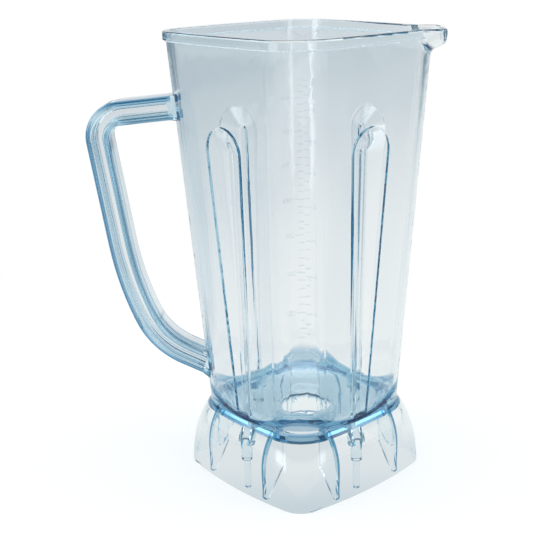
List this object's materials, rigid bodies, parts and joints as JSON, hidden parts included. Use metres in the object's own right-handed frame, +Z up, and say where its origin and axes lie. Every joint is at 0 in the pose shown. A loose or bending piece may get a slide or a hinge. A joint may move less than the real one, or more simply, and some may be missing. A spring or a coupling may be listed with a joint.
{
  "type": "blender jar",
  "caption": "Clear square blender jar with a flared skirt, a corner spout, an open handle, fluted walls and a round blade hole in its dished floor.",
  "frame": {"origin": "on the jar's axis, at the level of the skirt's foot", "axes": "+Z up along the axis of the blade hole, +X towards the spout, -X towards the handle"},
  "size_m": [0.2086, 0.1556, 0.27],
  "materials": {
    "polycarbonate": "clear, polished, with a pale blue tint"
  },
  "bodies": {
    "root": {"jar": "polycarbonate"}
  },
  "joints": []
}
